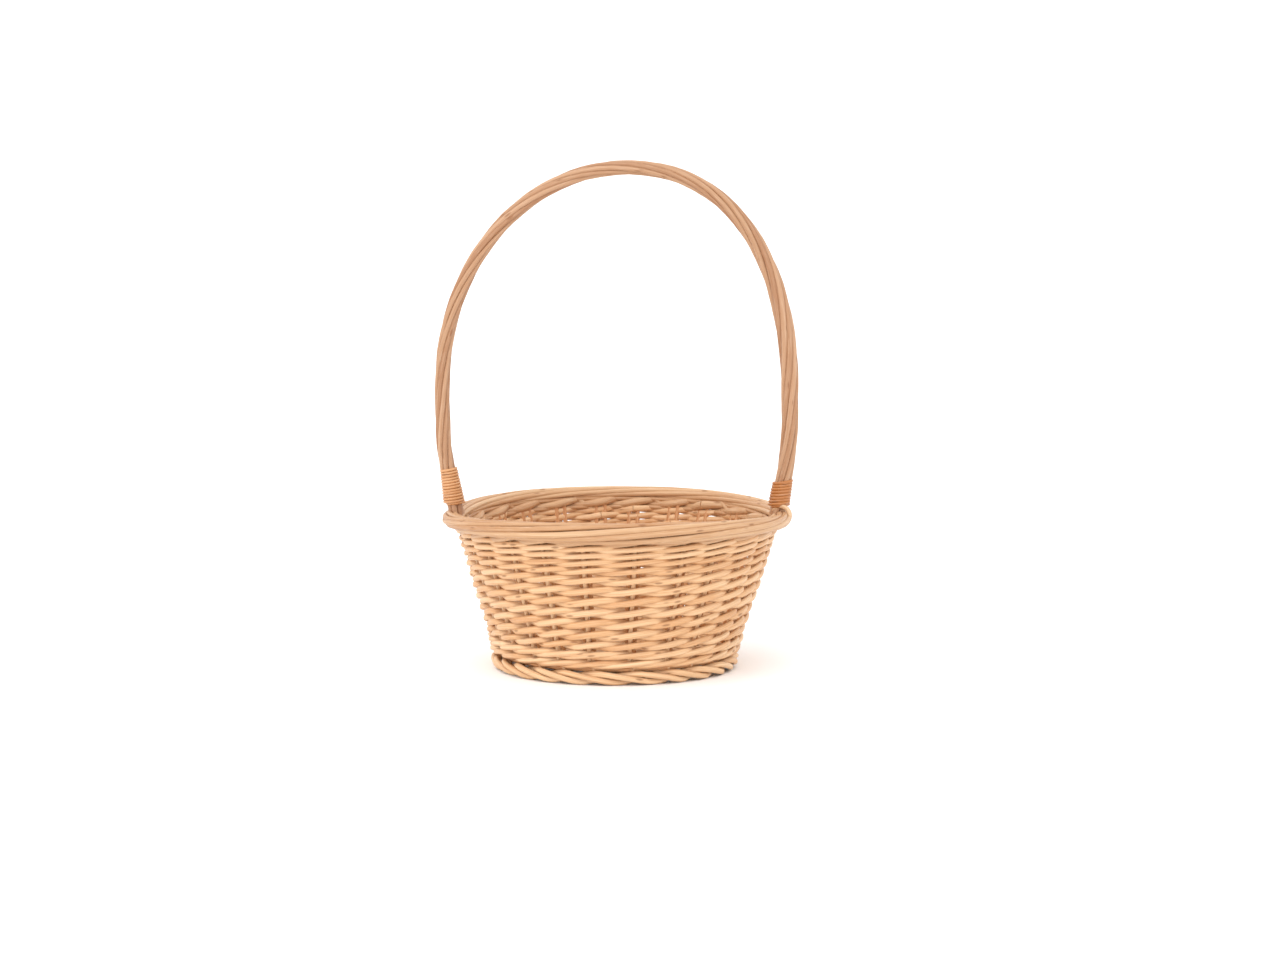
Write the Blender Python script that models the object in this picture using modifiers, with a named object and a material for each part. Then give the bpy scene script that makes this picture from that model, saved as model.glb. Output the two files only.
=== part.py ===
"""A round willow market basket with a tall roped hoop handle.

Standard stake-and-strand construction: a pierced cross of six base sticks, a woven base disc,
24 side stakes pricked up into a flared wall, an upset wale, eleven courses of pairing, a rolled
border, a foot border, and a fixed bow handle roped with willow rods and bound at both legs.
Every course is a closed ring with a clear channel for each stake that stands in it.

Units are metres, +Z is up, the origin is the centre of the foot on the surface it stands on,
and the hoop handle stands in the XZ plane.
"""

import math

import bmesh
import bpy
from mathutils import Vector

MM = 0.001

# Driving dimensions.
GAP = 0.3 * MM                      # clearance between any two pieces
WALL_RADIUS = 103.5 * MM            # outside of the weave at WALL_LEVEL
WALL_LEVEL = 8.5 * MM
WALL_FLARE = 0.32                   # radius gained for each unit of height
WALL_THICKNESS = 12.6 * MM
STAKES = 24
STAKE_RADIUS = 2.0 * MM
STAKE_TOP = 129.0 * MM
STAKE_INNER_END = 66.0 * MM         # how far the butt reaches into the base
BASE_LEVEL = 14.8 * MM              # mid height of the base
BASE_RADIUS = 91.0 * MM
BASE_HOLE = 21.0 * MM               # the open cross at the centre of the base
BASE_HALF_THICKNESS = 4.2 * MM
STICK_RADIUS = 2.5 * MM
STICK_SPACING = 6.9 * MM
STICK_END = 88.0 * MM
STICK_PARED = 0.52                  # of its radius, where a stick passes through the pierced ones
STICK_PIERCED = 1.36                # of its radius, where a stick is pierced
SLOT_SIZE = (17.6 * MM, 26.0 * MM, 3.3 * MM)
CHANNEL_RADIUS = 3.3 * MM           # corner radius of the channels for stakes and sticks
FOOT_TOP = 12.2 * MM
FOOT_MIDDLE = 6.0 * MM
FOOT_OUTER, FOOT_BELLY = 102.6 * MM, 1.8 * MM
FOOT_INNER = 94.6 * MM
FOOT_STAKE_RADIUS = 1.5 * MM
FOOT_STAKE_ENDS = (8.0 * MM, 27.0 * MM)
FOOT_STAKE_BESIDE = 6.6 * MM        # measured round the wall from its side stake
FOOT_CHANNEL_RADIUS = 2.6 * MM
WALE_BOTTOM = 14.3 * MM
WALE_MIDDLE = 22.0 * MM
COURSE_BELLY = 1.6 * MM             # how far the middle of a course stands out past its edges
COURSE_EDGE_SET_IN = 1.2 * MM
COURSE_EDGES = [z * MM for z in (30.2, 39.1, 48.8, 58.7, 68.4, 78.2, 87.6, 96.4, 104.3, 110.8, 116.5, 122.6)]
BORDER_RADIUS = 140.6 * MM
BORDER_LEVEL = 132.0 * MM
BORDER_HALF_WIDTH = 9.3 * MM
BORDER_HALF_HEIGHT = 8.9 * MM
BOW_HALF_SPAN = 148.0 * MM
BOW_SPRING = 240.0 * MM             # height where the legs turn into the arch
BOW_TOP = 427.8 * MM                # centre line at the crown
BOW_POWER = 2.1                     # 2 is an ellipse, more is squarer shoulders
BOW_LEAN = 10.5 * MM                # sideways drift of the crown
BOW_CORE_RADIUS = 3.0 * MM
BOW_TIP_RADIUS = 2.0 * MM
BOW_TAPER = 70.0 * MM               # height over which each buried tip is pared down
ROPE_RODS = 7
ROPE_ROD_RADIUS = 2.0 * MM
ROPE_START = 143.0 * MM
ROPE_WINDING_RADIUS = 5.5 * MM
ROPE_PITCH = 210.0 * MM
BINDING_INNER = 8.3 * MM
BINDING_OUTER = 9.7 * MM
BINDING_START = 143.6 * MM
BINDING_HEIGHTS = (("left", -1, 28.0 * MM), ("right", 1, 17.0 * MM))

# How far each stake stands from even spacing, in degrees, set out by eye as on a hand-made basket.
STAKE_WANDER = (0.0, 0.6, -0.8, 1.2, -0.5, 0.9, -1.1, 0.4, 1.0, -0.7, 0.3, 0.0,
                -1.0, -3.5, -4.5, -4.5, -5.5, -5.0, -1.0, 2.5, 1.0, 2.0, 0.5, -1.0)

# The bow's legs from the point buried in the wall to the spring of the arch: half span and height.
LEG_ROUTE = [(x * MM, z * MM) for x, z in (
    (114.4, 62.0), (133.6, 122.0), (136.9, 131.0), (139.2, 140.0), (144.5, 173.0),
    (146.5, 188.0), (147.6, 204.0), (148.0, 222.0))]

PALE_WILLOW = ("pale_willow", (226, 176, 133), 0.55)
STAKE_WILLOW = ("stake_willow", (214, 166, 122), 0.6)
BASE_WILLOW = ("base_willow", (205, 158, 118), 0.6)
BORDER_WILLOW = ("border_willow", (228, 190, 154), 0.55)
HANDLE_WILLOW = ("handle_willow", (214, 170, 134), 0.5)
BINDING_CANE = ("binding_cane", (205, 145, 95), 0.45)


def clear_scene():
    for obj in list(bpy.data.objects):
        bpy.data.objects.remove(obj, do_unlink=True)


def make_collection(name):
    collection = bpy.data.collections.new(name)
    bpy.context.scene.collection.children.link(collection)
    return collection


def linear(channel):
    c = channel / 255
    return c / 12.92 if c <= 0.04045 else ((c + 0.055) / 1.055) ** 2.4


def material(finish):
    name, colour, roughness = finish
    found = bpy.data.materials.get(name)
    if found:
        return found
    made = bpy.data.materials.new(name)
    made.use_nodes = True
    shader = made.node_tree.nodes["Principled BSDF"]
    shader.inputs["Base Color"].default_value = (*[linear(c) for c in colour], 1)
    shader.inputs["Roughness"].default_value = roughness
    shader.inputs["Metallic"].default_value = 0.0
    return made


def wall_outer(z):
    return WALL_RADIUS + WALL_FLARE * (z - WALL_LEVEL)


def wall_middle(z):
    """Radius of the stakes' centre line inside the weave."""
    return wall_outer(z) - WALL_THICKNESS / 2


def even_angle(i):
    """Angle about +Z that stake i has in even spacing. The legs stand midway between stakes."""
    return math.radians((i + 0.5) * 360 / STAKES)


def stake_angle(i):
    return even_angle(i) + math.radians(STAKE_WANDER[i])


def around(angle, r, z):
    return Vector((r * math.cos(angle), r * math.sin(angle), z))


def tube(name, points, radius, sides, collection, finish=None, radii=None):
    """A capped rod along the points, as a curve object. radii scales it point by point."""
    curve = bpy.data.curves.new(name, "CURVE")
    curve.dimensions = "3D"
    curve.bevel_depth = radius
    curve.bevel_resolution = (sides - 4) // 2
    curve.use_fill_caps = True
    spline = curve.splines.new("POLY")
    spline.points.add(len(points) - 1)
    for i, (point, place) in enumerate(zip(spline.points, points)):
        point.co = (*place, 1)
        point.radius = radii[i] if radii else 1
    obj = bpy.data.objects.new(name, curve)
    collection.objects.link(obj)
    if finish:
        curve.materials.append(material(finish))
    return obj


def as_mesh(obj):
    """Turns a curve object into a mesh object with welded caps, ready to be cut or to cut."""
    bpy.context.view_layer.update()
    graph = bpy.context.evaluated_depsgraph_get()
    mesh = bpy.data.meshes.new_from_object(obj.evaluated_get(graph))
    work = bmesh.new()
    work.from_mesh(mesh)
    bmesh.ops.remove_doubles(work, verts=work.verts, dist=1e-6)
    bmesh.ops.recalc_face_normals(work, faces=work.faces)
    work.to_mesh(mesh)
    work.free()
    name = obj.name
    made = bpy.data.objects.new(name + "_mesh", mesh)
    made.matrix_world = obj.matrix_world.copy()
    for collection in obj.users_collection:
        collection.objects.link(made)
    bpy.data.objects.remove(obj, do_unlink=True)
    made.name = name
    return made


def cutter(name, points, radius, collection, sides=4, radii=None):
    made = as_mesh(tube(name, points, radius, sides, collection, radii=radii))
    made.hide_render = True
    made.display_type = "WIRE"
    return made


def turned(name, profile, collection, finish, steps):
    """A ring turned about Z from a closed profile, whose points run down its outer side first."""
    mesh = bpy.data.meshes.new(name)
    count = len(profile)
    mesh.from_pydata([(r, 0, z) for r, z in profile], [(i, (i + 1) % count) for i in range(count)], [])
    obj = bpy.data.objects.new(name, mesh)
    collection.objects.link(obj)
    mesh.materials.append(material(finish))
    screw = obj.modifiers.new("turn", "SCREW")
    screw.steps = steps
    screw.render_steps = steps
    screw.use_merge_vertices = False
    screw.use_smooth_shade = False
    return obj


def boolean(obj, collection, operation="DIFFERENCE"):
    cut = obj.modifiers.new("with_" + collection.name, "BOOLEAN")
    cut.operation = operation
    cut.operand_type = "COLLECTION"
    cut.collection = collection
    cut.solver = "EXACT"


def stake_points(i, extend=0.0):
    """From the butt midway between two sticks, round the pricked-up bend and up into the border."""
    angle, even = stake_angle(i), even_angle(i)
    route = [(even, STAKE_INNER_END - extend, BASE_LEVEL), ((even + angle) / 2, 90.0 * MM, BASE_LEVEL)]
    route += [(angle, 97.2 * MM, 16.2 * MM), (angle, 100.8 * MM, 20.0 * MM)]
    route += [(angle, wall_middle(z), z) for z in (26 * MM, STAKE_TOP + extend)]
    return [around(*place) for place in route]


def foot_stake_points(i, extend=0.0):
    """A short rod pushed up beside a side stake. The foot border is worked on these."""
    angle = stake_angle(i) + FOOT_STAKE_BESIDE / WALL_RADIUS
    low, high = FOOT_STAKE_ENDS
    return [around(angle, wall_middle(z), z) for z in (low - extend, high + extend)]


def bow_route():
    """Centre line of the bow, left tip to right tip, as (x, z)."""
    left = [(-x, z) for x, z in LEG_ROUTE]
    right = [(x, z) for x, z in reversed(LEG_ROUTE)]
    arch = []
    for k in range(61):
        turn = math.pi * (1 - k / 60)
        x = math.copysign(abs(math.cos(turn)) ** (2 / BOW_POWER), math.cos(turn))
        z = math.sin(turn) ** (2 / BOW_POWER) if 0 < k < 60 else 0.0
        lean = BOW_LEAN * z * z
        arch.append((BOW_HALF_SPAN * x + lean, BOW_SPRING + (BOW_TOP - BOW_SPRING) * z))
    return left + arch + right


def spaced(route, step):
    """The route again with evenly spaced points, each with its distance along the route."""
    places = [Vector((x, 0, z)) for x, z in route]
    marks = [0.0]
    for a, b in zip(places, places[1:]):
        marks.append(marks[-1] + (b - a).length)
    count = max(2, round(marks[-1] / step))
    found, at = [], 0
    for k in range(count + 1):
        mark = marks[-1] * k / count
        while at < len(marks) - 2 and marks[at + 1] < mark:
            at += 1
        share = (mark - marks[at]) / (marks[at + 1] - marks[at])
        found.append((places[at].lerp(places[at + 1], share), mark))
    return found


def base_sticks(collection, cutters):
    """Six sticks: three are pierced at the middle and the other three, pared thin, pass through."""
    slot = bpy.data.collections.new("stick_slots")
    cutters.children.link(slot)
    bpy.ops.mesh.primitive_cube_add(size=1, location=(0, 0, BASE_LEVEL))
    box = bpy.context.object
    box.name = "stick_slot_cutter"
    box.scale = SLOT_SIZE
    for holder in list(box.users_collection):
        holder.objects.unlink(box)
    slot.objects.link(box)
    box.hide_render = True
    box.display_type = "WIRE"
    middle = STICK_SPACING / math.tan(math.radians(30))
    for number in range(6):
        through = number >= 3
        row = number % 3 - 1
        turn = math.radians(30) * row
        far = STICK_END * math.cos(turn)
        stops = [(far, 1.0), (18 * MM, 1.0), (middle, STICK_PARED if through else STICK_PIERCED)]
        points, radii = [], []
        for side in (-1, 1):
            part = stops if side < 0 else stops[::-1]
            for along, scale in part:
                across = row * max(STICK_SPACING, along * math.tan(math.radians(30)))
                x, y = side * along, across
                if through:
                    x, y = -y, x
                points.append(Vector((x, y, BASE_LEVEL)))
                radii.append(scale)
        stick = tube(f"base_stick_{number + 1}", points, STICK_RADIUS, 8, collection, BASE_WILLOW, radii)
        if not through:
            boolean(as_mesh(stick), slot)


def stick_clearances(holder):
    for k in range(12):
        angle = math.radians(30 * k)
        points = [around(angle, r, BASE_LEVEL) for r in (15 * MM, STICK_END + 5 * MM)]
        cutter(f"stick_clearance_{k + 1:02d}", points, CHANNEL_RADIUS, holder, sides=6)


def build():
    clear_scene()
    basket = make_collection("market_basket")
    cutters = make_collection("cutters")
    groups = {}
    for name in ("stake_clearances", "foot_stake_clearances", "leg_clearances",
                 "stick_clearances", "foot_stakes"):
        groups[name] = bpy.data.collections.new(name)
        cutters.children.link(groups[name])

    for i in range(STAKES):
        tube(f"side_stake_{i + 1:02d}", stake_points(i), STAKE_RADIUS, 6, basket, STAKE_WILLOW)
        cutter(f"stake_clearance_{i + 1:02d}", stake_points(i, GAP), CHANNEL_RADIUS,
               groups["stake_clearances"])
        cutter(f"foot_stake_clearance_{i + 1:02d}", foot_stake_points(i, GAP), FOOT_CHANNEL_RADIUS,
               groups["foot_stake_clearances"])
        cutter(f"foot_stake_{i + 1:02d}", foot_stake_points(i), FOOT_STAKE_RADIUS, groups["foot_stakes"])

    base_sticks(basket, cutters)
    stick_clearances(groups["stick_clearances"])
    low, high = BASE_LEVEL - BASE_HALF_THICKNESS, BASE_LEVEL + BASE_HALF_THICKNESS
    base = turned("base_weave", [(BASE_RADIUS, high), (BASE_RADIUS, low), (BASE_HOLE, low),
                                 (BASE_HOLE, high)], basket, BASE_WILLOW, 36)
    boolean(base, groups["stick_clearances"])
    boolean(base, groups["stake_clearances"])

    foot = turned("foot_border", [(FOOT_OUTER, FOOT_TOP), (FOOT_OUTER + FOOT_BELLY, FOOT_MIDDLE),
                                  (FOOT_OUTER, 0), (FOOT_INNER, 0),
                                  (FOOT_INNER - FOOT_BELLY, FOOT_MIDDLE), (FOOT_INNER, FOOT_TOP)],
                  basket, BORDER_WILLOW, STAKES)
    boolean(foot, groups["foot_stakes"], "UNION")

    wale_top = COURSE_EDGES[0] - GAP
    wale = turned("upset_wale", [(wall_outer(wale_top) - COURSE_EDGE_SET_IN, wale_top),
                                 (wall_outer(WALE_MIDDLE) + COURSE_BELLY - COURSE_EDGE_SET_IN, WALE_MIDDLE),
                                 (wall_outer(WALE_BOTTOM) - COURSE_EDGE_SET_IN / 2, WALE_BOTTOM),
                                 (wall_outer(WALE_BOTTOM) - WALL_THICKNESS, WALE_BOTTOM),
                                 (wall_outer(wale_top) - WALL_THICKNESS, wale_top)],
                  basket, PALE_WILLOW, STAKES)
    boolean(wale, groups["stake_clearances"])
    boolean(wale, groups["foot_stake_clearances"])

    for side, sign in (("left", -1), ("right", 1)):
        points = [Vector((sign * x, 0, z)) for x, z in LEG_ROUTE[:5]]
        points[0] -= (points[1] - points[0]).normalized() * GAP
        cutter(f"{side}_leg_clearance", points, (BOW_CORE_RADIUS + 0.4 * MM) / math.cos(math.pi / 6),
               groups["leg_clearances"], sides=6, radii=[0.8, 1, 1, 1, 1])

    for number, (bottom, top) in enumerate(zip(COURSE_EDGES, COURSE_EDGES[1:]), start=1):
        low, high = bottom + GAP / 2, top - GAP / 2
        middle = (low + high) / 2
        course = turned(f"pairing_course_{number:02d}",
                        [(wall_outer(high) - COURSE_EDGE_SET_IN, high),
                         (wall_outer(middle) + COURSE_BELLY - COURSE_EDGE_SET_IN, middle),
                         (wall_outer(low) - COURSE_EDGE_SET_IN, low),
                         (wall_outer(low) - WALL_THICKNESS, low),
                         (wall_outer(high) - WALL_THICKNESS, high)], basket, PALE_WILLOW, STAKES)
        boolean(course, groups["stake_clearances"])
        if top > LEG_ROUTE[0][1] - GAP:
            boolean(course, groups["leg_clearances"])

    section = [(math.radians(90 - 45 * k - 22.5)) for k in range(8)]
    rim = turned("rim_border", [(BORDER_RADIUS + BORDER_HALF_WIDTH * math.cos(a) / math.cos(math.pi / 8),
                                 BORDER_LEVEL + BORDER_HALF_HEIGHT * math.sin(a) / math.cos(math.pi / 8))
                                for a in section], basket, BORDER_WILLOW, 2 * STAKES)
    boolean(rim, groups["stake_clearances"])
    boolean(rim, groups["leg_clearances"])

    route = bow_route()
    legs = [Vector((x, 0, z)) for x, z in LEG_ROUTE[:5]]
    arch = [p for p, _ in spaced([p for p in route if p[1] > LEG_ROUTE[4][1]], 22 * MM)]
    core = [Vector((-p.x, 0, p.z)) for p in legs] + arch + legs[::-1]
    tip = BOW_TIP_RADIUS / BOW_CORE_RADIUS
    radii = [tip + (1 - tip) * min(1, (p.z - legs[0].z) / BOW_TAPER) for p in core]
    tube("handle_bow", core, BOW_CORE_RADIUS, 8, basket, HANDLE_WILLOW, radii)

    rope_rods(basket, route)
    bindings(basket)
    return basket


def rope_rods(collection, route):
    """Rods laid in a long right-handed twist over the bow, from border to border."""
    inside = [(x, z) for x, z in route if z > ROPE_START]
    slope = (LEG_ROUTE[4][0] - LEG_ROUTE[3][0]) / (LEG_ROUTE[4][1] - LEG_ROUTE[3][1])
    foot = LEG_ROUTE[3][0] + slope * (ROPE_START - LEG_ROUTE[3][1])
    places = spaced([(-foot, ROPE_START)] + inside + [(foot, ROPE_START)], 19 * MM)
    for number in range(ROPE_RODS):
        points = []
        for k, (place, along) in enumerate(places):
            before = places[max(0, k - 1)][0]
            after = places[min(len(places) - 1, k + 1)][0]
            tangent = (after - before).normalized()
            side = Vector((tangent.z, 0, -tangent.x))
            turn = math.tau * (along / ROPE_PITCH + number / ROPE_RODS)
            points.append(place + ROPE_WINDING_RADIUS * (math.cos(turn) * side
                                                         + math.sin(turn) * Vector((0, 1, 0))))
        tube(f"handle_rope_rod_{number + 1}", points, ROPE_ROD_RADIUS, 4, collection, HANDLE_WILLOW)


def bindings(collection):
    """Wound cane at the foot of each leg: a taller one on the left, a shorter one on the right."""
    low, high = Vector((*LEG_ROUTE[3], 0)), Vector((*LEG_ROUTE[4], 0))
    tilt = math.atan2(high.x - low.x, high.y - low.y)
    for side, sign, height in BINDING_HEIGHTS:
        sleeve = turned(f"{side}_binding", [(BINDING_OUTER, height), (BINDING_OUTER, 0),
                                            (BINDING_INNER, 0), (BINDING_INNER, height)],
                        collection, BINDING_CANE, 16)
        x = low.x + math.tan(tilt) * (BINDING_START - low.y)
        sleeve.location = (sign * x, 0, BINDING_START)
        sleeve.rotation_euler = (0, sign * tilt, 0)


build()
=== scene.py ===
import math
import random

import bpy
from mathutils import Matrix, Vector
from mathutils import noise


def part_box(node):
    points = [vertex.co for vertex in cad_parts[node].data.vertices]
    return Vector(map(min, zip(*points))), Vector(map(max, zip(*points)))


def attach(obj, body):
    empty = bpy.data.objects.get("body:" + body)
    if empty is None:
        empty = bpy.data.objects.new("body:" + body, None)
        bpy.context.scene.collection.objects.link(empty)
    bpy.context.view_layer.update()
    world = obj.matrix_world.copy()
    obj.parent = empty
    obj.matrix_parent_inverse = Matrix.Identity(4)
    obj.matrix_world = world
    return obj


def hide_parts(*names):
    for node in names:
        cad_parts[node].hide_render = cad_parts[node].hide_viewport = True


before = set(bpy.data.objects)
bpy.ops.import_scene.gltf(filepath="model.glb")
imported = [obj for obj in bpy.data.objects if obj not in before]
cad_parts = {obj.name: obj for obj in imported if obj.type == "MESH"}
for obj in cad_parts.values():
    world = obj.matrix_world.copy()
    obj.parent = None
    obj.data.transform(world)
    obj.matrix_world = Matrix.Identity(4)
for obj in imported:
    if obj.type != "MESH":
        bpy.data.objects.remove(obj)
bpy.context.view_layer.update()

mm = 0.001
fullTurn = math.tau


# one wrapped socket: arithmetic on it adds Math nodes to its tree
class Wire:
    def __init__(self, graph, socket):
        self.graph = graph
        self.socket = socket

    def maths(self, operation, *values):
        return self.graph.node("ShaderNodeMath", {"operation": operation}, dict(enumerate(values)))

    def __add__(self, other):
        return self.maths("ADD", self, other)

    def __radd__(self, other):
        return self.maths("ADD", other, self)

    def __sub__(self, other):
        return self.maths("SUBTRACT", self, other)

    def __rsub__(self, other):
        return self.maths("SUBTRACT", other, self)

    def __mul__(self, other):
        return self.maths("MULTIPLY", self, other)

    def within(self, low, high):  # 0 at low, 1 at high, held outside them
        return self.graph.node("ShaderNodeMapRange", {"interpolation_type": "SMOOTHSTEP"},
                               {0: self, 1: low, 2: high, 3: 0.0, 4: 1.0})


class Graph:
    def __init__(self, tree):
        self.tree = tree

    def node(self, kind, settings=None, sockets=None, out=0):
        made = self.tree.nodes.new(kind)
        for key, value in (settings or {}).items():
            if key == "stops":
                fillRamp(made.color_ramp, value)
            else:
                setattr(made, key, value)
        for key, value in (sockets or {}).items():
            if isinstance(value, Wire):
                self.tree.links.new(value.socket, made.inputs[key])
            else:
                made.inputs[key].default_value = value
        return Wire(self, made.outputs[out])

    def vector(self, x, y, z):
        return self.node("ShaderNodeCombineXYZ", {}, {0: x, 1: y, 2: z})

    def stretch(self, vector, scale):
        return self.node("ShaderNodeVectorMath", {"operation": "MULTIPLY"}, {0: vector, 1: scale})

    def noise(self, vector, scale, detail=2.0):
        return self.node("ShaderNodeTexNoise", {}, {"Vector": vector, "Scale": scale, "Detail": detail})

    def mixColour(self, amount, low, high, mode="MIX"):
        return self.node("ShaderNodeMix", {"data_type": "RGBA", "blend_type": mode},
                         {0: amount, 6: low, 7: high}, out=2)


def fillRamp(ramp, stops):
    ramp.elements[0].position, ramp.elements[0].color = stops[0]
    ramp.elements[-1].position, ramp.elements[-1].color = stops[-1]
    for place, colour in stops[1:-1]:
        ramp.elements.new(place).color = colour


def paint(red, green, blue):  # screen colour, 0 to 255, to the shader's own scale
    def straight(value):
        value /= 255
        return value / 12.92 if value <= 0.04045 else ((value + 0.055) / 1.055) ** 2.4
    return (straight(red), straight(green), straight(blue), 1.0)


# how finely each part of the grain repeats, across the rod twice and then along it, per metre
grainScales = {"patches": (90.0, 90.0, 9.0), "streaks": (1100.0, 1100.0, 16.0), "fibres": (3200.0, 3200.0, 70.0),
               "knots": (150.0, 150.0, 42.0)}


# peeled willow: tone picks the rod's colour, grain is the place on the straightened rod
def willowMaterial(name, look):
    material = bpy.data.materials.new(name)
    material.use_nodes = True
    shader = material.node_tree.nodes["Principled BSDF"]
    graph = Graph(material.node_tree)
    grain = graph.node("ShaderNodeAttribute", {"attribute_name": "grain"}, out="Vector")
    tone = graph.node("ShaderNodeAttribute", {"attribute_name": "tone"}, out="Fac")
    patches = graph.noise(graph.stretch(grain, grainScales["patches"]), 1.0, 3.0)
    streaks = graph.noise(graph.stretch(grain, grainScales["streaks"]), 1.0, 4.0)
    fibres = graph.noise(graph.stretch(grain, grainScales["fibres"]), 1.0, 2.0)
    spots = graph.node("ShaderNodeTexVoronoi", {},
                       {"Vector": graph.stretch(grain, grainScales["knots"]), "Scale": 1.0}, out="Distance")
    knots = 1 - spots.within(0.07, 0.2)
    shade = tone + (patches - 0.5) * look["patchiness"]
    colour = graph.node("ShaderNodeValToRGB", {"stops": look["colours"]}, {0: shade})
    strips = graph.node("ShaderNodeValToRGB", {"stops": [(0.3, look["streakColour"]), (0.62, (1, 1, 1, 1))]},
                        {0: streaks})
    colour = graph.mixColour(look["streaking"], colour, strips, "MULTIPLY")
    colour = graph.mixColour(fibres.within(0.5, 0.8) * look["fibre"], colour, look["fibreColour"])
    colour = graph.mixColour(knots * look["knots"], colour, look["knotColour"])
    graph.tree.links.new(colour.socket, shader.inputs["Base Color"])
    rough = look["roughness"] + (streaks - 0.5) * 0.22 + knots * 0.15
    graph.tree.links.new(rough.socket, shader.inputs["Roughness"])
    height = streaks * 0.5 + fibres * 0.25 + knots * 0.6
    bump = graph.node("ShaderNodeBump", {},
                      {"Strength": look["relief"], "Distance": look["reliefDepth"], "Height": height}, out="Normal")
    graph.tree.links.new(bump.socket, shader.inputs["Normal"])
    shader.inputs["Specular IOR Level"].default_value = look["gloss"]
    return material


# what a user would change about the finish of the rods
willowLook = {
    "colours": [(0.0, paint(236, 204, 163)), (0.3, paint(229, 191, 149)), (0.55, paint(223, 181, 136)),
                (0.78, paint(216, 169, 122)), (1.0, paint(201, 146, 97))],
    "patchiness": 0.5,
    "streakColour": paint(222, 196, 172),
    "streaking": 0.75,
    "fibre": 0.3,
    "fibreColour": paint(252, 232, 206),
    "knots": 0.7,
    "knotColour": paint(140, 92, 58),
    "roughness": 0.46,
    "relief": 0.45,
    "reliefDepth": 0.35 * mm,
    "gloss": 0.4,
}
finishes = {
    "pale_willow": willowMaterial("paleWillow", willowLook),
    "stake_willow": willowMaterial("stakeWillow", {**willowLook, "patchiness": 0.4, "knots": 0.4}),
    "base_willow": willowMaterial("baseWillow", {**willowLook, "streakColour": paint(205, 178, 150)}),
    "border_willow": willowMaterial("borderWillow", {**willowLook, "colours": [
        (0.0, paint(219, 189, 152)), (0.35, paint(211, 174, 135)), (0.7, paint(201, 160, 120)),
        (1.0, paint(187, 140, 98))]}),
    "handle_willow": willowMaterial("handleWillow", {**willowLook, "streaking": 0.6, "patchiness": 0.5, "colours": [
        (0.0, paint(205, 168, 136)), (0.35, paint(194, 154, 121)), (0.7, paint(183, 141, 107)),
        (1.0, paint(168, 122, 88))]}),
    "binding_cane": willowMaterial("bindingCane", {**willowLook, "roughness": 0.36, "gloss": 0.5, "colours": [
        (0.0, paint(222, 172, 126)), (0.4, paint(206, 152, 102)), (0.75, paint(190, 129, 74)),
        (1.0, paint(180, 113, 52))]}),
}
print("finishes made:", len(finishes))


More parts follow.
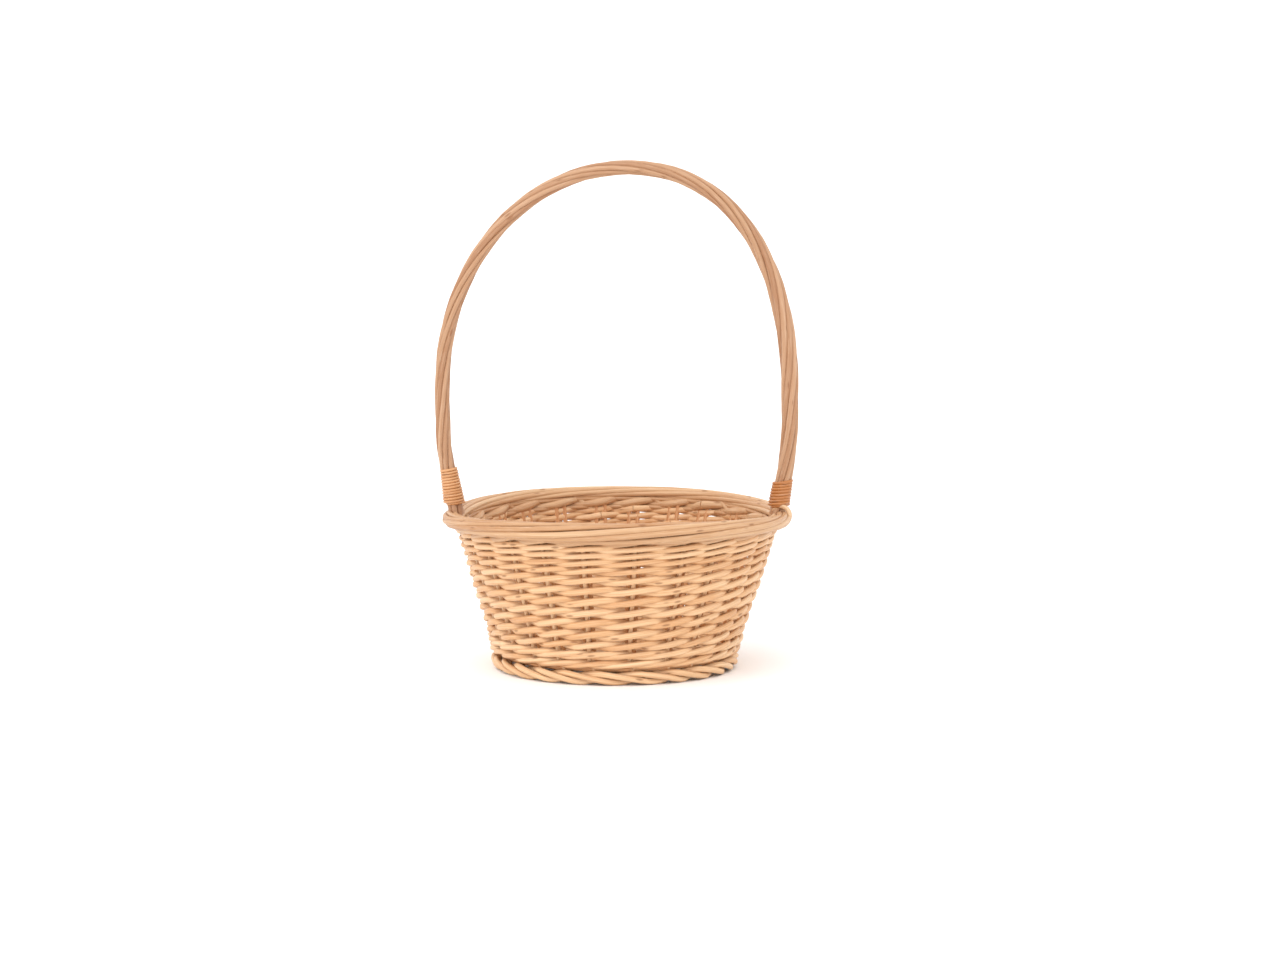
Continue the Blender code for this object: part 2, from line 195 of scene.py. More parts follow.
# sweeps a round rod along every chain of edges it is given
def makeRodTree():
    tree = bpy.data.node_groups.new("rodSweep", "GeometryNodeTree")
    socket = tree.interface.new_socket
    socket("Geometry", in_out="INPUT", socket_type="NodeSocketGeometry")
    socket("Step", in_out="INPUT", socket_type="NodeSocketFloat")
    socket("Sides", in_out="INPUT", socket_type="NodeSocketInt")
    socket("Waver", in_out="INPUT", socket_type="NodeSocketFloat")
    socket("Unevenness", in_out="INPUT", socket_type="NodeSocketFloat")
    socket("Seed", in_out="INPUT", socket_type="NodeSocketFloat")
    socket("Flatness", in_out="INPUT", socket_type="NodeSocketFloat")
    socket("Level", in_out="INPUT", socket_type="NodeSocketBool")
    socket("Finish", in_out="INPUT", socket_type="NodeSocketMaterial")
    socket("Geometry", in_out="OUTPUT", socket_type="NodeSocketGeometry")
    graph = Graph(tree)
    given = graph.node("NodeGroupInput")
    asked = {s.name: Wire(graph, s) for s in given.socket.node.outputs if s.name}

    def attribute(name):
        return graph.node("GeometryNodeInputNamedAttribute", {"data_type": "FLOAT"}, {"Name": name})

    def store(geometry, name, value, kind="FLOAT"):
        return graph.node("GeometryNodeStoreNamedAttribute", {"data_type": kind, "domain": "POINT"},
                          {"Geometry": geometry, "Name": name, "Value": value})

    rods = graph.node("GeometryNodeMeshToCurve", {}, {0: asked["Geometry"]})
    rods = graph.node("GeometryNodeCurveSplineType", {"spline_type": "CATMULL_ROM"}, {0: rods})
    rods = graph.node("GeometryNodeResampleCurve", {"mode": "LENGTH"}, {"Curve": rods, "Length": asked["Step"]})
    rods = graph.node("GeometryNodeSetCurveNormal", {"mode": "Z_UP"}, {"Curve": rods, "Selection": asked["Level"]})
    rods = store(rods, "alongRod", graph.node("GeometryNodeSplineParameter", out="Length"))
    along, tone, thick = attribute("alongRod"), attribute("tone"), attribute("thick")
    drift = graph.vector(along * 22.0, tone * 61.0, asked["Seed"])
    sway = graph.node("ShaderNodeTexNoise", {}, {"Vector": drift, "Scale": 1.0, "Detail": 1.0}, out="Color")
    sway = graph.node("ShaderNodeVectorMath", {"operation": "SUBTRACT"}, {0: sway, 1: (0.5, 0.5, 0.5)})
    sway = graph.node("ShaderNodeVectorMath", {"operation": "SCALE"}, {0: sway, "Scale": asked["Waver"]})
    rods = graph.node("GeometryNodeSetPosition", {}, {"Geometry": rods, "Offset": sway})
    lumps = graph.noise(graph.vector(along * 55.0, tone * 83.0, asked["Seed"] + 7.0), 1.0, 2.0)
    girth = thick * (1 + (lumps - 0.5) * asked["Unevenness"])
    ring = graph.node("GeometryNodeCurvePrimitiveCircle", {}, {"Resolution": asked["Sides"], "Radius": 1.0})
    ring = store(ring, "aroundRod", graph.node("GeometryNodeSplineParameter", out="Factor") * fullTurn)
    flat = graph.vector(asked["Flatness"], 1.0, 1.0)
    ring = graph.node("GeometryNodeTransform", {}, {"Geometry": ring, "Scale": flat})
    body = graph.node("GeometryNodeCurveToMesh", {}, {"Curve": rods, "Profile Curve": ring, "Scale": girth,
                                                      "Fill Caps": True})
    around = attribute("aroundRod")
    place = graph.vector(around.maths("COSINE", around) * thick, around.maths("SINE", around) * thick,
                         along + tone * 5.0)
    body = store(body, "grain", place, "FLOAT_VECTOR")
    body = graph.node("GeometryNodeSetShadeSmooth", {}, {"Geometry": body})
    body = graph.node("GeometryNodeRealizeInstances", {}, {"Geometry": body})
    body = graph.node("GeometryNodeSetMaterial", {}, {"Geometry": body, "Material": asked["Finish"]})
    tree.links.new(body.socket, tree.nodes.new("NodeGroupOutput").inputs[0])
    return tree


rodTree = makeRodTree()
rodDefaults = {"Step": 2.4 * mm, "Sides": 10, "Waver": 0.3 * mm, "Unevenness": 0.16, "Seed": 1.0, "Flatness": 1.0,
               "Level": False}


# rods: a list of (points, one girth or one for each point, tone)
def makeRods(name, rods, slot, nodes, **changes):
    chain = bpy.data.meshes.new(name + "Lines")
    places, edges, thick, tones = [], [], [], []
    for points, girths, tone in rods:
        first = len(places)
        places += points
        edges += [(first + i, first + i + 1) for i in range(len(points) - 1)]
        thick += girths if isinstance(girths, list) else [girths] * len(points)
        tones += [tone] * len(points)
    chain.from_pydata(places, edges, [])
    for key, values in (("thick", thick), ("tone", tones)):
        chain.attributes.new(key, "FLOAT", "POINT").data.foreach_set("value", values)
    guide = bpy.data.objects.new(name + "Lines", chain)
    bpy.context.scene.collection.objects.link(guide)
    sweep = guide.modifiers.new("sweep", "NODES")
    sweep.node_group = rodTree
    wanted = {**rodDefaults, **changes, "Finish": finishes[slot]}
    for item in rodTree.interface.items_tree:
        if item.in_out == "INPUT" and item.name in wanted:
            sweep[item.identifier] = wanted[item.name]
    guide.update_tag()
    bpy.context.view_layer.update()
    mesh = bpy.data.meshes.new_from_object(guide.evaluated_get(bpy.context.evaluated_depsgraph_get()))
    bpy.data.objects.remove(guide, do_unlink=True)
    for spare in ("alongRod", "aroundRod", "thick"):
        if spare in mesh.attributes:
            mesh.attributes.remove(mesh.attributes[spare])
    mesh.set_sharp_from_angle(angle=math.radians(55))
    piece = bpy.data.objects.new(name, mesh)
    bpy.context.scene.collection.objects.link(piece)
    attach(piece, "root")
    if nodes:
        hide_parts(*nodes)
    return piece


# the wall's own shape, read from the frame
def readWall():
    courses = sorted(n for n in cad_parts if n.startswith("pairing_course"))
    low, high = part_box(courses[0]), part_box(courses[-1])
    flare = (high[1].x - low[1].x) / ((high[0].z + high[1].z) / 2 - (low[0].z + low[1].z) / 2)
    stakes = []
    for name in sorted(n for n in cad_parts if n.startswith("side_stake")):
        points = [v.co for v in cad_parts[name].data.vertices]
        top = max(p.z for p in points)
        end = [p for p in points if p.z > top - 1 * mm]
        middle = sum(end, Vector()) / len(end)
        stakes.append({"node": name, "angle": math.atan2(middle.y, middle.x) % fullTurn,
                       "radius": math.hypot(middle.x, middle.y), "top": middle.z})
    stakes.sort(key=lambda s: s["angle"])
    return courses, flare, stakes


courses, wallFlare, stakes = readWall()
stakeCount = len(stakes)
stakeTop = sum(s["top"] for s in stakes) / stakeCount
stakeTopRadius = sum(s["radius"] for s in stakes) / stakeCount


def wallMiddle(z):
    return stakeTopRadius + wallFlare * (z - stakeTop)


# the bowl leans a little, as hand-made ones do: sideways at the ground, dying out at this height
bowlLean = {"sideways": -1.6 * mm, "upTo": 100 * mm}


def polar(angle, radius, z):
    lean = bowlLean["sideways"] * max(0, 1 - z / bowlLean["upTo"])
    return Vector((radius * math.cos(angle) + lean, radius * math.sin(angle), z))


def angleAt(turns, angles):  # turns counts uprights: 2.5 is midway between the third and the fourth
    count = len(angles)
    whole = math.floor(turns)
    here = angles[whole % count] + fullTurn * (whole // count)
    there = angles[(whole + 1) % count] + fullTurn * ((whole + 1) // count)
    return here + (there - here) * (turns - whole)


stakeAngles = [s["angle"] for s in stakes]


# how unevenly a hand weaves
wander = {"pace": 1.3, "out": 0.8 * mm, "up": 0.5 * mm, "girth": 0.11, "tone": 0.13, "tuck": 0.9}


def drift(angle, seed, size):  # a slow wander round the basket that joins up with itself
    pace = wander["pace"]
    return noise.noise(Vector((pace * math.cos(angle), pace * math.sin(angle), seed))) * size


def bulge(strands, turn):  # how far out a strand is, 1 in front of a stake and -1 behind it
    c = math.cos(turn)
    return 0.5 + c - 0.5 * c * c if strands == 2 else 0.567 + 1.1 * c - 0.467 * c * c


# strands twined round the uprights, each in front of all but one of them in turn
def twine(work, angles, seed):
    strands, count = work["strands"], len(angles)
    spread = random.Random(seed)
    rods = []
    for strand in range(strands):
        shift = strand + spread.randrange(count // strands) * strands
        behind = strands / 2 + shift  # starts and ends tucked behind an upright
        steps = count * work["steps"]
        points, girths = [], []
        for k in range(steps + 1):
            turns = behind + count * k / steps
            turn = fullTurn * (turns - shift) / strands
            angle = angleAt(turns, angles)
            fade = min(1, k / work["steps"], (steps - k) / work["steps"])
            out = work["reach"] * bulge(strands, turn) - (1 - fade) * work["thick"] * wander["tuck"]
            out += drift(angle, seed, wander["out"])
            steep = 0.5 * math.sin(turn) + math.asin(math.sin(turn)) / math.pi  # half a wave, half a zigzag
            up = work["rise"] * steep * work.get("slant", 1)
            up += (0.5 - fade) * (1 - fade) * work["thick"] + drift(angle, seed + 40, wander["up"])
            points.append(work["lay"](angle, out, up))
            plump = 1 + work.get("plump", 0) * math.cos(turn) ** 2  # pressed wide against a stake
            plump += work.get("swell", 0) * (0.5 - 0.5 * math.cos(turn)) ** 2  # and wider behind it
            girths.append(work["thick"] * plump * (1 + drift(angle * 2, seed + strand * 9 + 5, wander["girth"])))
        rods.append((points, girths, min(1, max(0, spread.gauss(work["tone"], wander["tone"])))))
    return rods


# siding: pairs of rods twined round the stakes, one in front and one behind
siding = {"stakeRadius": 1.6 * mm, "steps": 12, "tone": 0.52, "fill": 1.1, "thinnest": 2.1 * mm,
          "plump": 0.1, "swell": 0.3, "outside": 6.9 * mm, "flatness": 0.8, "rise": 0.235, "joint": 0.3 * mm,
          "seat": 0.93, "proud": 1.0 * mm}


def weaveSiding():
    for number, node in enumerate(courses):
        low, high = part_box(node)
        middle, pitch = (low.z + high.z) / 2, high.z - low.z + siding["joint"]
        thick = max(siding["thinnest"], pitch / 4 * siding["fill"])
        deep = thick * siding["flatness"]
        reach = siding["stakeRadius"] + deep * siding["seat"]
        shift = min(siding["proud"], siding["outside"] - reach - deep)

        def lay(angle, out, up):
            z = middle + up
            return polar(angle, wallMiddle(z) + shift + out, z)

        work = {"strands": 2, "steps": siding["steps"], "thick": thick, "rise": pitch * siding["rise"], "lay": lay,
                "reach": reach, "tone": siding["tone"], "plump": siding["plump"], "swell": siding["swell"]}
        makeRods(f"sidingCourse{number + 1:02d}", twine(work, stakeAngles, 11 + number), "pale_willow", [node],
                 Seed=3.0 + number, Flatness=siding["flatness"], Level=True)


weaveSiding()
print("siding woven:", len(courses), "courses")


# upset: two rounds of three-rod wale where the stakes turn up
upset = {"rounds": 2, "thick": 2.35 * mm, "rise": 2.0 * mm, "reach": 4.4 * mm, "tone": 0.45, "steps": 10,
         "drop": 0.1 * mm, "proud": 0.6 * mm}


def weaveUpset():
    low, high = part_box("upset_wale")
    pitch = (high.z - low.z) / upset["rounds"]
    rods = []
    for number in range(upset["rounds"]):
        middle = low.z - upset["drop"] + pitch * (number + 0.5)

        def lay(angle, out, up):
            z = middle + up
            return polar(angle, wallMiddle(z) + upset["proud"] + out, z)

        rods += twine({**upset, "strands": 3, "lay": lay}, stakeAngles, 71 + number)
    makeRods("upsetWale", rods, "pale_willow", ["upset_wale"], Seed=31.0)


weaveUpset()


# foot: rods laid in a trac on the foot stakes, falling the other way
# the hidden hoop's dark tone is painted shade behind the gap over the foot
foot = {"thick": 2.5 * mm, "rise": 3.7 * mm, "reach": 4.0 * mm, "tone": 0.42, "steps": 10, "slant": -1,
        "radius": 99.0 * mm, "middle": 6.3 * mm, "pegRadius": 1.9 * mm,
        "pegBeside": 3.4 * mm, "pegHeights": (3 * mm, 9 * mm, 15 * mm, 21 * mm, 27 * mm),
        "hoopRadius": 97.5 * mm, "hoopLevel": 13.2 * mm, "hoopPaintedShadeTone": 0.9}


def weaveFoot():
    def lay(angle, out, up):
        z = max(foot["thick"] * 1.08, foot["middle"] + up)  # pressed flat where it stands
        return polar(angle, foot["radius"] + wallFlare * (z - foot["middle"]) + out, z)

    rods = twine({**foot, "strands": 3, "lay": lay}, stakeAngles, 90)
    hoop = [polar(fullTurn * k / 48, foot["hoopRadius"], foot["hoopLevel"]) for k in range(49)]
    rods.append((hoop, foot["pegRadius"], foot["hoopPaintedShadeTone"]))  # lies behind the gap between foot and wale and blocks the view through it; its dark tone is painted shade in that gap
    for number, angle in enumerate(stakeAngles):
        beside = angle + foot["pegBeside"] / foot["radius"]
        points = [polar(beside, wallMiddle(z), z) for z in foot["pegHeights"]]
        rods.append((points, foot["pegRadius"], 0.35 + 0.3 * noise.noise(Vector((number, 4.5, 0)))))
    makeRods("footBorder", rods, "pale_willow", ["foot_border"], Seed=41.0)


weaveFoot()
print("upset and foot woven")


# side stakes: from the base round the pricked-up bend and up into the border
# the by-stakes' dark tone is painted shade in the wedges beside each stake
sideStakes = {"radius": 2.0 * mm, "innerEnd": 62 * mm, "bend": 89 * mm, "byStake": 2.0 * mm, "beside": 3.8 * mm,
              "inward": 2.6 * mm, "tone": 0.22, "byPaintedShadeTone": 1.1, "halfway": 76 * mm,
              "turnUp": ((97 * mm, 1.2 * mm), (101.2 * mm, 5 * mm)),  # radius, and height over the base
              "heights": (27, 40, 55, 70, 85, 100, 114, 124), "byHeights": range(26, 125, 14)}


def setStakes():
    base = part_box("base_weave")
    level = (base[0].z + base[1].z) / 2
    for number, stake in enumerate(stakes):
        angle, even = stake["angle"], (number + 0.5) * fullTurn / stakeCount
        places = [(even, sideStakes["innerEnd"], level), ((3 * even + angle) / 4, sideStakes["halfway"], level),
                  ((even + angle) / 2, sideStakes["bend"], level)]
        places += [(angle, radius, level + up) for radius, up in sideStakes["turnUp"]]
        places += [(angle, wallMiddle(z * mm), z * mm) for z in sideStakes["heights"]]
        points = [polar(*place) for place in places]
        tone = sideStakes["tone"] + 0.3 * noise.noise(Vector((number * 0.9, 2.2, 7.0)))
        girths = [sideStakes["radius"] * (1.06 - 0.1 * k / len(points)) for k in range(len(points))]
        rods = [(points, girths, tone)]
        for side in (-1, 1):  # by-stakes, pushed in beside each stake to fill out the wall; their dark tone is painted shade, so the wedges beside each stake read dark
            points = [polar(angle + side * sideStakes["beside"] / wallMiddle(z * mm),
                            wallMiddle(z * mm) - sideStakes["inward"], z * mm) for z in sideStakes["byHeights"]]
            rods.append((points, sideStakes["byStake"], sideStakes["byPaintedShadeTone"]))
        makeRods("sideStake" + stake["node"][-2:], rods, "stake_willow", [stake["node"]], Step=4 * mm,
                 Seed=50.0 + number, Waver=0.6 * mm)


setStakes()
print("stakes set:", stakeCount)


# rolled rim: each stake end winds once round the border and dives into its heart
rim = {"spaces": 16, "every": 2, "thick": 2.65 * mm, "thin": 2.1 * mm, "winding": 6.5 * mm, "start": -150.0,
       "tail": 4, "heart": 2.0 * mm, "tone": 0.72, "steps": 5, "stray": 0.2, "flat": 0.56, "belly": 0.46,
       "raised": 1.4 * mm, "sag": 4.2 * mm, "roots": ((108 * mm, 0.22), (117 * mm, 0.14)), "rootGirth": 0.9,
       "inset": 0.5 * mm, "lift": 0.35 * mm, "stout": (0.9, 1.06), "tones": 0.14}
lastPair = {"strands": 2, "steps": 10, "thick": 2.65 * mm, "rise": 2.3 * mm, "reach": 3.6 * mm, "plump": 0.1,
            "swell": 0.25, "tone": rim["tone"], "below": 7.4 * mm}
# the hidden filler rods' dark tone is painted shade in the gaps round the last pair
paintedShadeFillers = {"below": (4.6 * mm, 11.6 * mm), "radius": 1.9 * mm, "tone": 0.9}


def rimLevel(angle):  # the border dips where the handle's legs pull on it
    low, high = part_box("rim_border")
    return (low.z + high.z) / 2 + rim["raised"] - rim["sag"] * math.cos(angle) ** 4


def rollRim():
    low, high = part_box("rim_border")
    radius = high.x - (high.z - low.z) / 2
    spread = random.Random(17)
    rods = []
    for number in range(0, stakeCount, rim["every"]):
        points, girths = [], []
        start = stakeAngles[number]
        for z, back in rim["roots"]:
            points.append(polar(start + back * fullTurn / stakeCount, wallMiddle(z) - rim["inset"], z))
            girths.append(rim["thick"] * rim["rootGirth"])
        spans = rim["spaces"] + rim["tail"]
        steps = int(spans * rim["steps"])
        lift = spread.uniform(-rim["lift"], rim["lift"])
        stout = spread.uniform(*rim["stout"])
        for k in range(3, steps + 1):
            turns = spans * k / steps
            section = math.radians(rim["start"] + 360 * turns / rim["spaces"])
            section += rim["stray"] * noise.noise(Vector((turns * 0.4, number * 1.7, 3.0)))
            dive = max(0, (turns - rim["spaces"]) / rim["tail"])
            winding = (rim["winding"] + lift) * (1 - dive) + rim["heart"] * dive
            angle = angleAt(number + turns, stakeAngles)
            tall = winding * (rim["flat"] + rim["belly"] * max(0, -math.sin(angle)) ** 2)
            z = rimLevel(angle) + tall * math.sin(section)
            points.append(polar(angle, radius + winding * math.cos(section) * 1.02, z))
            girths.append(stout * (rim["thick"] + (rim["thin"] - rim["thick"]) * turns / spans))
        rods.append((points, girths, min(1, max(0, spread.gauss(rim["tone"], rim["tones"])))))

    def lay(angle, out, up):  # the last pair, pressed up under the border
        z = rimLevel(angle) - lastPair["below"] + up
        return polar(angle, wallMiddle(z) + out, z)

    rods += twine({**lastPair, "lay": lay}, stakeAngles, 160)
    for down in paintedShadeFillers["below"]:  # rods hidden behind the last pair, which close the gaps round it; their dark tone is painted shade in those gaps
        ring = []
        for k in range(49):
            angle = fullTurn * k / 48
            z = rimLevel(angle) - down
            ring.append(polar(angle, wallMiddle(z) - rim["inset"], z))
        rods.append((ring, paintedShadeFillers["radius"], paintedShadeFillers["tone"]))
    makeRods("rolledRim", rods, "border_willow", ["rim_border"], Seed=61.0, Waver=0.5 * mm)


rollRim()
print("rim rolled")


# base: pierced cross of six sticks, opened out, with pairing round them
base = {"stick": 2.5 * mm, "weaver": 1.75 * mm, "first": 22.5 * mm, "pitch": 5.9 * mm, "tone": 0.5,
        "halfLength": 88, "between": 6.9, "opened": math.radians(30), "crossing": 11, "pierced": 1.34, "pared": 0.5}
crossTie = {"strands": 2, "steps": 14, "thick": 1.35 * mm, "rise": 1.3 * mm, "reach": 4.3 * mm, "tone": base["tone"]}
edgeRound = {"strands": 2, "steps": 10, "thick": 1.8 * mm, "rise": 1.7 * mm, "reach": 3.6 * mm, "tone": base["tone"],
             "beyond": 3.4 * mm, "below": 0.6 * mm}


def weaveBase():
    low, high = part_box("base_weave")
    level, reach = (low.z + high.z) / 2, high.x
    for number in range(6):
        through = number >= 3
        row = number % 3 - 1
        points, girths = [], []
        for along in range(-base["halfLength"], base["halfLength"] + 1, 4):
            length = along * (math.cos(base["opened"]) if row else 1)
            across = row * max(base["between"], abs(length) * math.tan(base["opened"]))
            x, y = (length, across) if not through else (-across, length)
            points.append(Vector((x * mm, y * mm, level)))
            near = abs(length) < base["crossing"]
            girths.append(base["stick"] * (base["pared" if through else "pierced"] if near else 1.0))
        makeRods(f"baseStick{number + 1}", [(points, girths, 0.45 + 0.08 * row)], "base_willow",
                 [f"base_stick_{number + 1}"], Step=3 * mm, Waver=0.2 * mm, Seed=80.0 + number)
    arms = [fullTurn * k / 12 for k in range(12)]
    rods = []
    rounds = int((reach - base["first"]) / base["pitch"]) + 1
    for number in range(rounds):
        radius = base["first"] + base["pitch"] * number

        def lay(angle, out, up):
            return polar(angle, radius + up, level + out)

        work = {"strands": 2, "steps": 6 + number // 2, "thick": base["weaver"], "rise": base["pitch"] / 4,
                "reach": base["stick"] + base["weaver"] * 0.75, "lay": lay, "tone": base["tone"]}
        rods += twine(work, arms, 120 + number)
    for number, radius in enumerate((14.4 * mm, 17.6 * mm)):  # two rounds that tie in the cross

        def layTie(angle, out, up):
            return polar(angle, radius + up * 0.6 + 1.2 * mm * abs(math.sin(2 * angle)), level + out)

        rods += twine({**crossTie, "lay": layTie}, [fullTurn * k / 4 for k in range(4)], 150 + number)

    def layEdge(angle, out, up):  # one round more, on the stakes, closes the edge under the wale
        return polar(angle, reach + edgeRound["beyond"] + up, level - edgeRound["below"] + out)

    rods += twine({**edgeRound, "lay": layEdge}, stakeAngles, 155)
    makeRods("baseWeave", rods, "base_willow", ["base_weave"], Step=1.9 * mm, Sides=8, Seed=90.0)


weaveBase()
print("base woven")


# handle: a stout bow pushed down into the wall, roped with long rods
handle = {"spring": 240 * mm, "power": 2.1, "lean": 10.5 * mm, "coreRadius": 3.0 * mm, "rods": 7,
          "rodRadius": 2.65 * mm, "winding": 5.25 * mm, "pitch": 285 * mm, "ropeStart": 129 * mm, "tone": 0.8,
          "tip": 2.0 * mm, "tipLength": 70 * mm, "stray": 0.16, "swell": 0.05, "tones": 0.14,
          "outward": 7 * mm, "outwardOver": 60 * mm,
          "stoutness": [(0.0, 0.84), (0.2, 0.82), (0.5, 0.8), (0.64, 0.88), (0.78, 1.02), (0.9, 0.92), (1.0, 0.88)]}
# one leg from its tip up, as millimetres out from the middle and up
legRoute = [(114.4, 62.0), (124.0, 92.0), (133.6, 122.0), (136.9, 131.0), (139.2, 140.0), (141.9, 156.0),
            (144.5, 173.0), (146.5, 188.0), (147.6, 204.0), (148.0, 222.0)]


def bowRoute():
    low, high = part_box("handle_bow")
    span, top = (high.x - low.x) / 2 - handle["coreRadius"], high.z - handle["coreRadius"]
    leg = [Vector((x * mm, 0, z * mm)) for x, z in legRoute]
    route = [Vector((-p.x, 0, p.z)) for p in leg]
    for k in range(41):
        turn = math.pi * (1 - k / 40)
        up = math.sin(turn) ** (2 / handle["power"]) if 0 < k < 40 else 0.0
        side = math.copysign(abs(math.cos(turn)) ** (2 / handle["power"]), math.cos(turn))
        route.append(Vector((span * side + handle["lean"] * up * up, 0,
                             handle["spring"] + (top - handle["spring"]) * up)))
    return route + leg[::-1]


def evenly(route, step):
    marks = [0.0]
    for a, b in zip(route, route[1:]):
        marks.append(marks[-1] + (b - a).length)
    count = round(marks[-1] / step)
    found, at = [], 0
    for k in range(count + 1):
        mark = marks[-1] * k / count
        while at < len(marks) - 2 and marks[at + 1] < mark:
            at += 1
        found.append(route[at].lerp(route[at + 1], (mark - marks[at]) / (marks[at + 1] - marks[at])))
    return found, marks[-1]


def between(share, stops):
    for (low, before), (high, after) in zip(stops, stops[1:]):
        if share <= high:
            return before + (after - before) * (share - low) / (high - low)
    return stops[-1][1]


def makeHandle():
    route = bowRoute()
    core, _ = evenly(route, 8 * mm)
    bottom = core[0].z
    growth = handle["coreRadius"] - handle["tip"]
    girths = [handle["tip"] + growth * min(1, (p.z - bottom) / handle["tipLength"]) for p in core]
    makeRods("handleBow", [(core, girths, 0.5)], "handle_willow", ["handle_bow"], Step=5 * mm, Seed=100.0)
    places, length = evenly([p for p in route if p.z > handle["ropeStart"]], 5 * mm)
    nodes = sorted(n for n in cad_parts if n.startswith("handle_rope_rod"))
    spread = random.Random(5)
    for number in range(handle["rods"]):
        points, girths = [], []
        for k, place in enumerate(places):
            ahead = (places[min(k + 1, len(places) - 1)] - places[max(k - 1, 0)]).normalized()
            side = Vector((ahead.z, 0, -ahead.x))
            along = length * k / (len(places) - 1)
            turn = fullTurn * (along / handle["pitch"] + number / handle["rods"])
            turn += handle["stray"] * noise.noise(Vector((along * 14, number * 3.1, 1.0)))
            stout = between(k / (len(places) - 1), handle["stoutness"])
            swell = handle["swell"] * noise.noise(Vector((along * 20, number * 5.3, 9.0)))
            pull = stout * handle["winding"] * (1 + swell)
            above = min(1, (place.z - handle["ropeStart"]) / handle["outwardOver"])
            outward = (stout - 1) * handle["outward"] * above * side
            points.append(place + outward + pull * (math.cos(turn) * side + math.sin(turn) * Vector((0, 1, 0))))
            girths.append(stout * handle["rodRadius"])
        tone = min(1, max(0, spread.gauss(handle["tone"], handle["tones"])))
        makeRods(f"ropedRod{number + 1}", [(points, girths, tone)], "handle_willow", nodes[number:number + 1],
                 Seed=110.0 + number, Waver=0.4 * mm)


makeHandle()
print("handle roped")


# bindings: cane wound round the foot of each leg
bindings = {"left": {"turns": 12, "sign": -1, "cane": 1.25 * mm, "top": 6.4 * mm, "foot": 8.3 * mm, "tone": 0.35,
                     "lower": 0.0},
            "right": {"turns": 8, "sign": 1, "cane": 1.45 * mm, "top": 7.5 * mm, "foot": 8.3 * mm, "tone": 0.95,
                      "lower": 2.2 * mm}}
winding = {"steps": 20, "ends": 8, "tuck": 0.86, "topGap": 1.6 * mm, "slope": 0.6 * mm}


def windBindings():
    for side, wound in bindings.items():
        low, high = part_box(side + "_binding")
        centre = (low + high) / 2
        lean = (legRoute[6][0] - legRoute[4][0]) / (legRoute[6][1] - legRoute[4][1])
        points = []
        steps = wound["turns"] * winding["steps"]
        start, end = low.z - wound["lower"], high.z - winding["topGap"]
        for k in range(-winding["ends"], steps + winding["ends"] + 1):  # both ends are tucked in
            share = min(1, max(0, k / steps))
            z = start + (end - start) * share
            turn = fullTurn * k / winding["steps"]
            tuck = 1 if 0 <= k <= steps else winding["tuck"]
            radius = (wound["foot"] + (wound["top"] - wound["foot"]) * share) * tuck
            x = centre.x + wound["sign"] * lean * (z - centre.z)
            points.append(Vector((x + radius * math.cos(turn), radius * math.sin(turn),
                                  z + winding["slope"] * math.cos(turn))))
        makeRods(side + "Binding", [(points, wound["cane"], wound["tone"])], "binding_cane", [side + "_binding"],
                 Step=1.6 * mm, Seed=130.0, Waver=0.35 * mm)


windBindings()


# a spare rod end laps over the border beside the right leg
legLoop = {"radius": 2.1 * mm, "tone": 0.2, "beside": -11.0 * mm, "slide": 8 * mm, "proud": -1.4 * mm,
           "from": 150, "to": -130, "step": 14}


def lapLoop():
    low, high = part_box("rim_border")
    half = (high.z - low.z) / 2
    middle, radius = (low.z + high.z) / 2, high.x - half
    out = half + legLoop["proud"]
    points = []
    for degrees in range(legLoop["from"], legLoop["to"] - 1, -legLoop["step"]):
        section = math.radians(degrees)
        slide = legLoop["beside"] + legLoop["slide"] * (degrees - 20) / 130
        points.append(Vector((math.sqrt((radius + out * math.cos(section)) ** 2 - slide * slide), slide,
                              middle + out * math.sin(section))))
    makeRods("legLoop", [(points, legLoop["radius"], legLoop["tone"])], "border_willow", [], Seed=140.0)


lapLoop()
print("bindings wound")


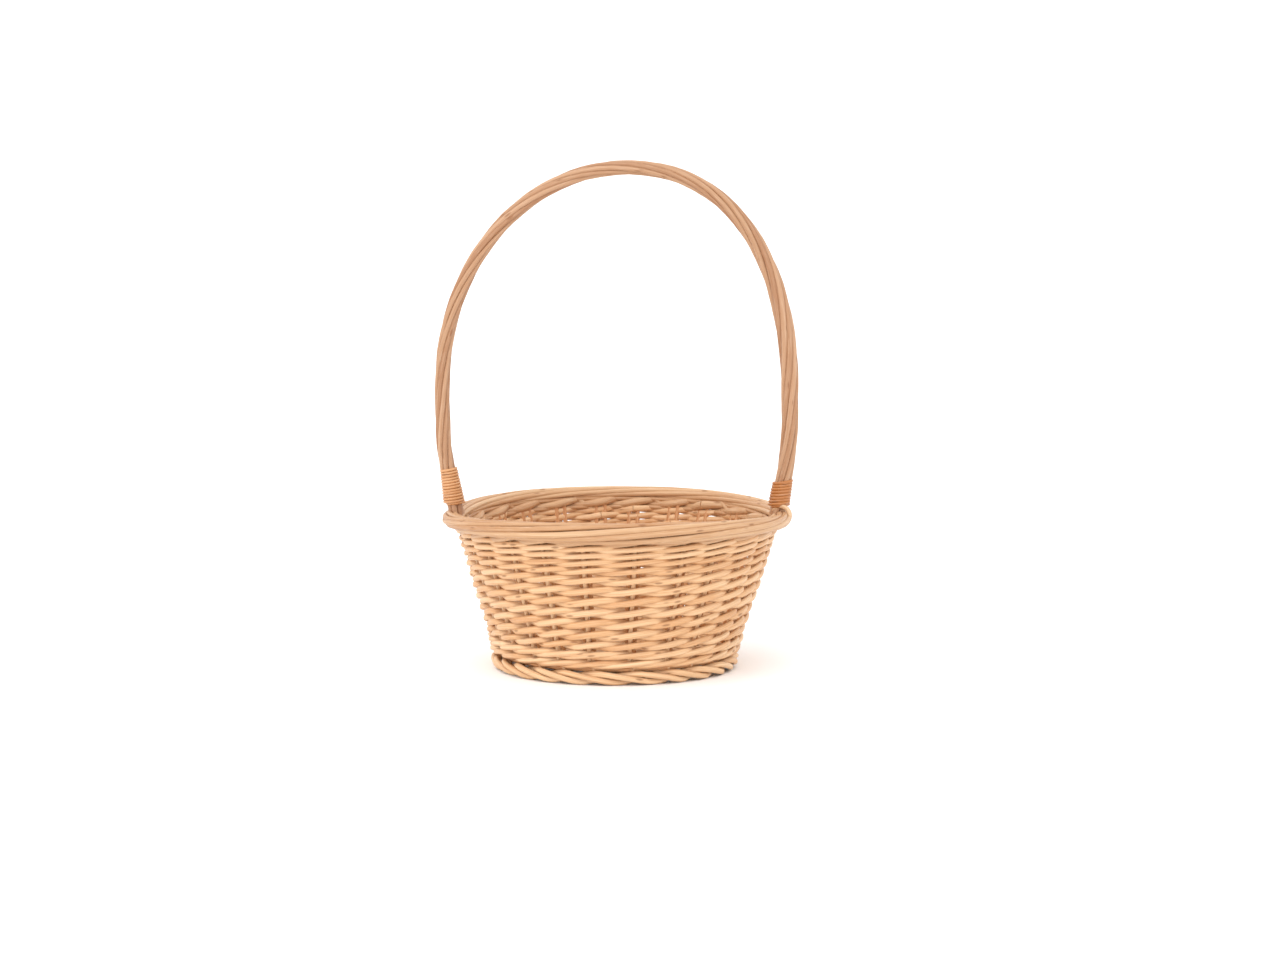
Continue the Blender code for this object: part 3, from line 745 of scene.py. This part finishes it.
# plain pale floor, white surround and soft studio light
studio = {"surround": 1.3, "sun": 1.0, "softness": 60.0, "from": (-0.6, -1.0, 1.2), "paper": 0.97, "reach": 60}


def setStudio():
    reach = studio["reach"]
    floorMesh = bpy.data.meshes.new("studioFloor")
    floorMesh.from_pydata([(-reach, -reach, 0), (reach, -reach, 0), (reach, reach, 0), (-reach, reach, 0)], [],
                          [(0, 1, 2, 3)])
    floor = bpy.data.objects.new("studioFloor", floorMesh)
    bpy.context.scene.collection.objects.link(floor)
    paper = bpy.data.materials.new("studioPaper")
    paper.use_nodes = True
    shader = paper.node_tree.nodes["Principled BSDF"]
    shader.inputs["Base Color"].default_value = (*[studio["paper"]] * 3, 1)
    shader.inputs["Roughness"].default_value = 0.9
    shader.inputs["Specular IOR Level"].default_value = 0.1
    floorMesh.materials.append(paper)
    world = bpy.data.worlds.new("studioAir")
    world.use_nodes = True
    world.node_tree.nodes["Background"].inputs["Color"].default_value = (1, 1, 1, 1)
    world.node_tree.nodes["Background"].inputs["Strength"].default_value = studio["surround"]
    bpy.context.scene.world = world
    bpy.context.scene.view_settings.view_transform = "Standard"
    sun = bpy.data.lights.new("softSun", "SUN")
    sun.energy = studio["sun"]
    sun.angle = math.radians(studio["softness"])
    holder = bpy.data.objects.new("softSun", sun)
    holder.rotation_euler = (-Vector(studio["from"])).to_track_quat("-Z", "Y").to_euler()
    bpy.context.scene.collection.objects.link(holder)


# metres, millimetres of focal length, and degrees
lens = {"distance": 3.3, "height": 0.554, "focal": 108.9, "sensor": 36.0, "down": 6.784, "right": 0.346}


def setCamera():
    view = bpy.data.cameras.new("viewCamera")
    view.lens, view.sensor_width = lens["focal"], lens["sensor"]
    holder = bpy.data.objects.new("viewCamera", view)
    holder.location = (0, -lens["distance"], lens["height"])
    holder.rotation_euler = (math.radians(90 - lens["down"]), 0, math.radians(-lens["right"]))
    bpy.context.scene.collection.objects.link(holder)
    bpy.context.scene.camera = holder


setStudio()
setCamera()
print("studio and camera set")
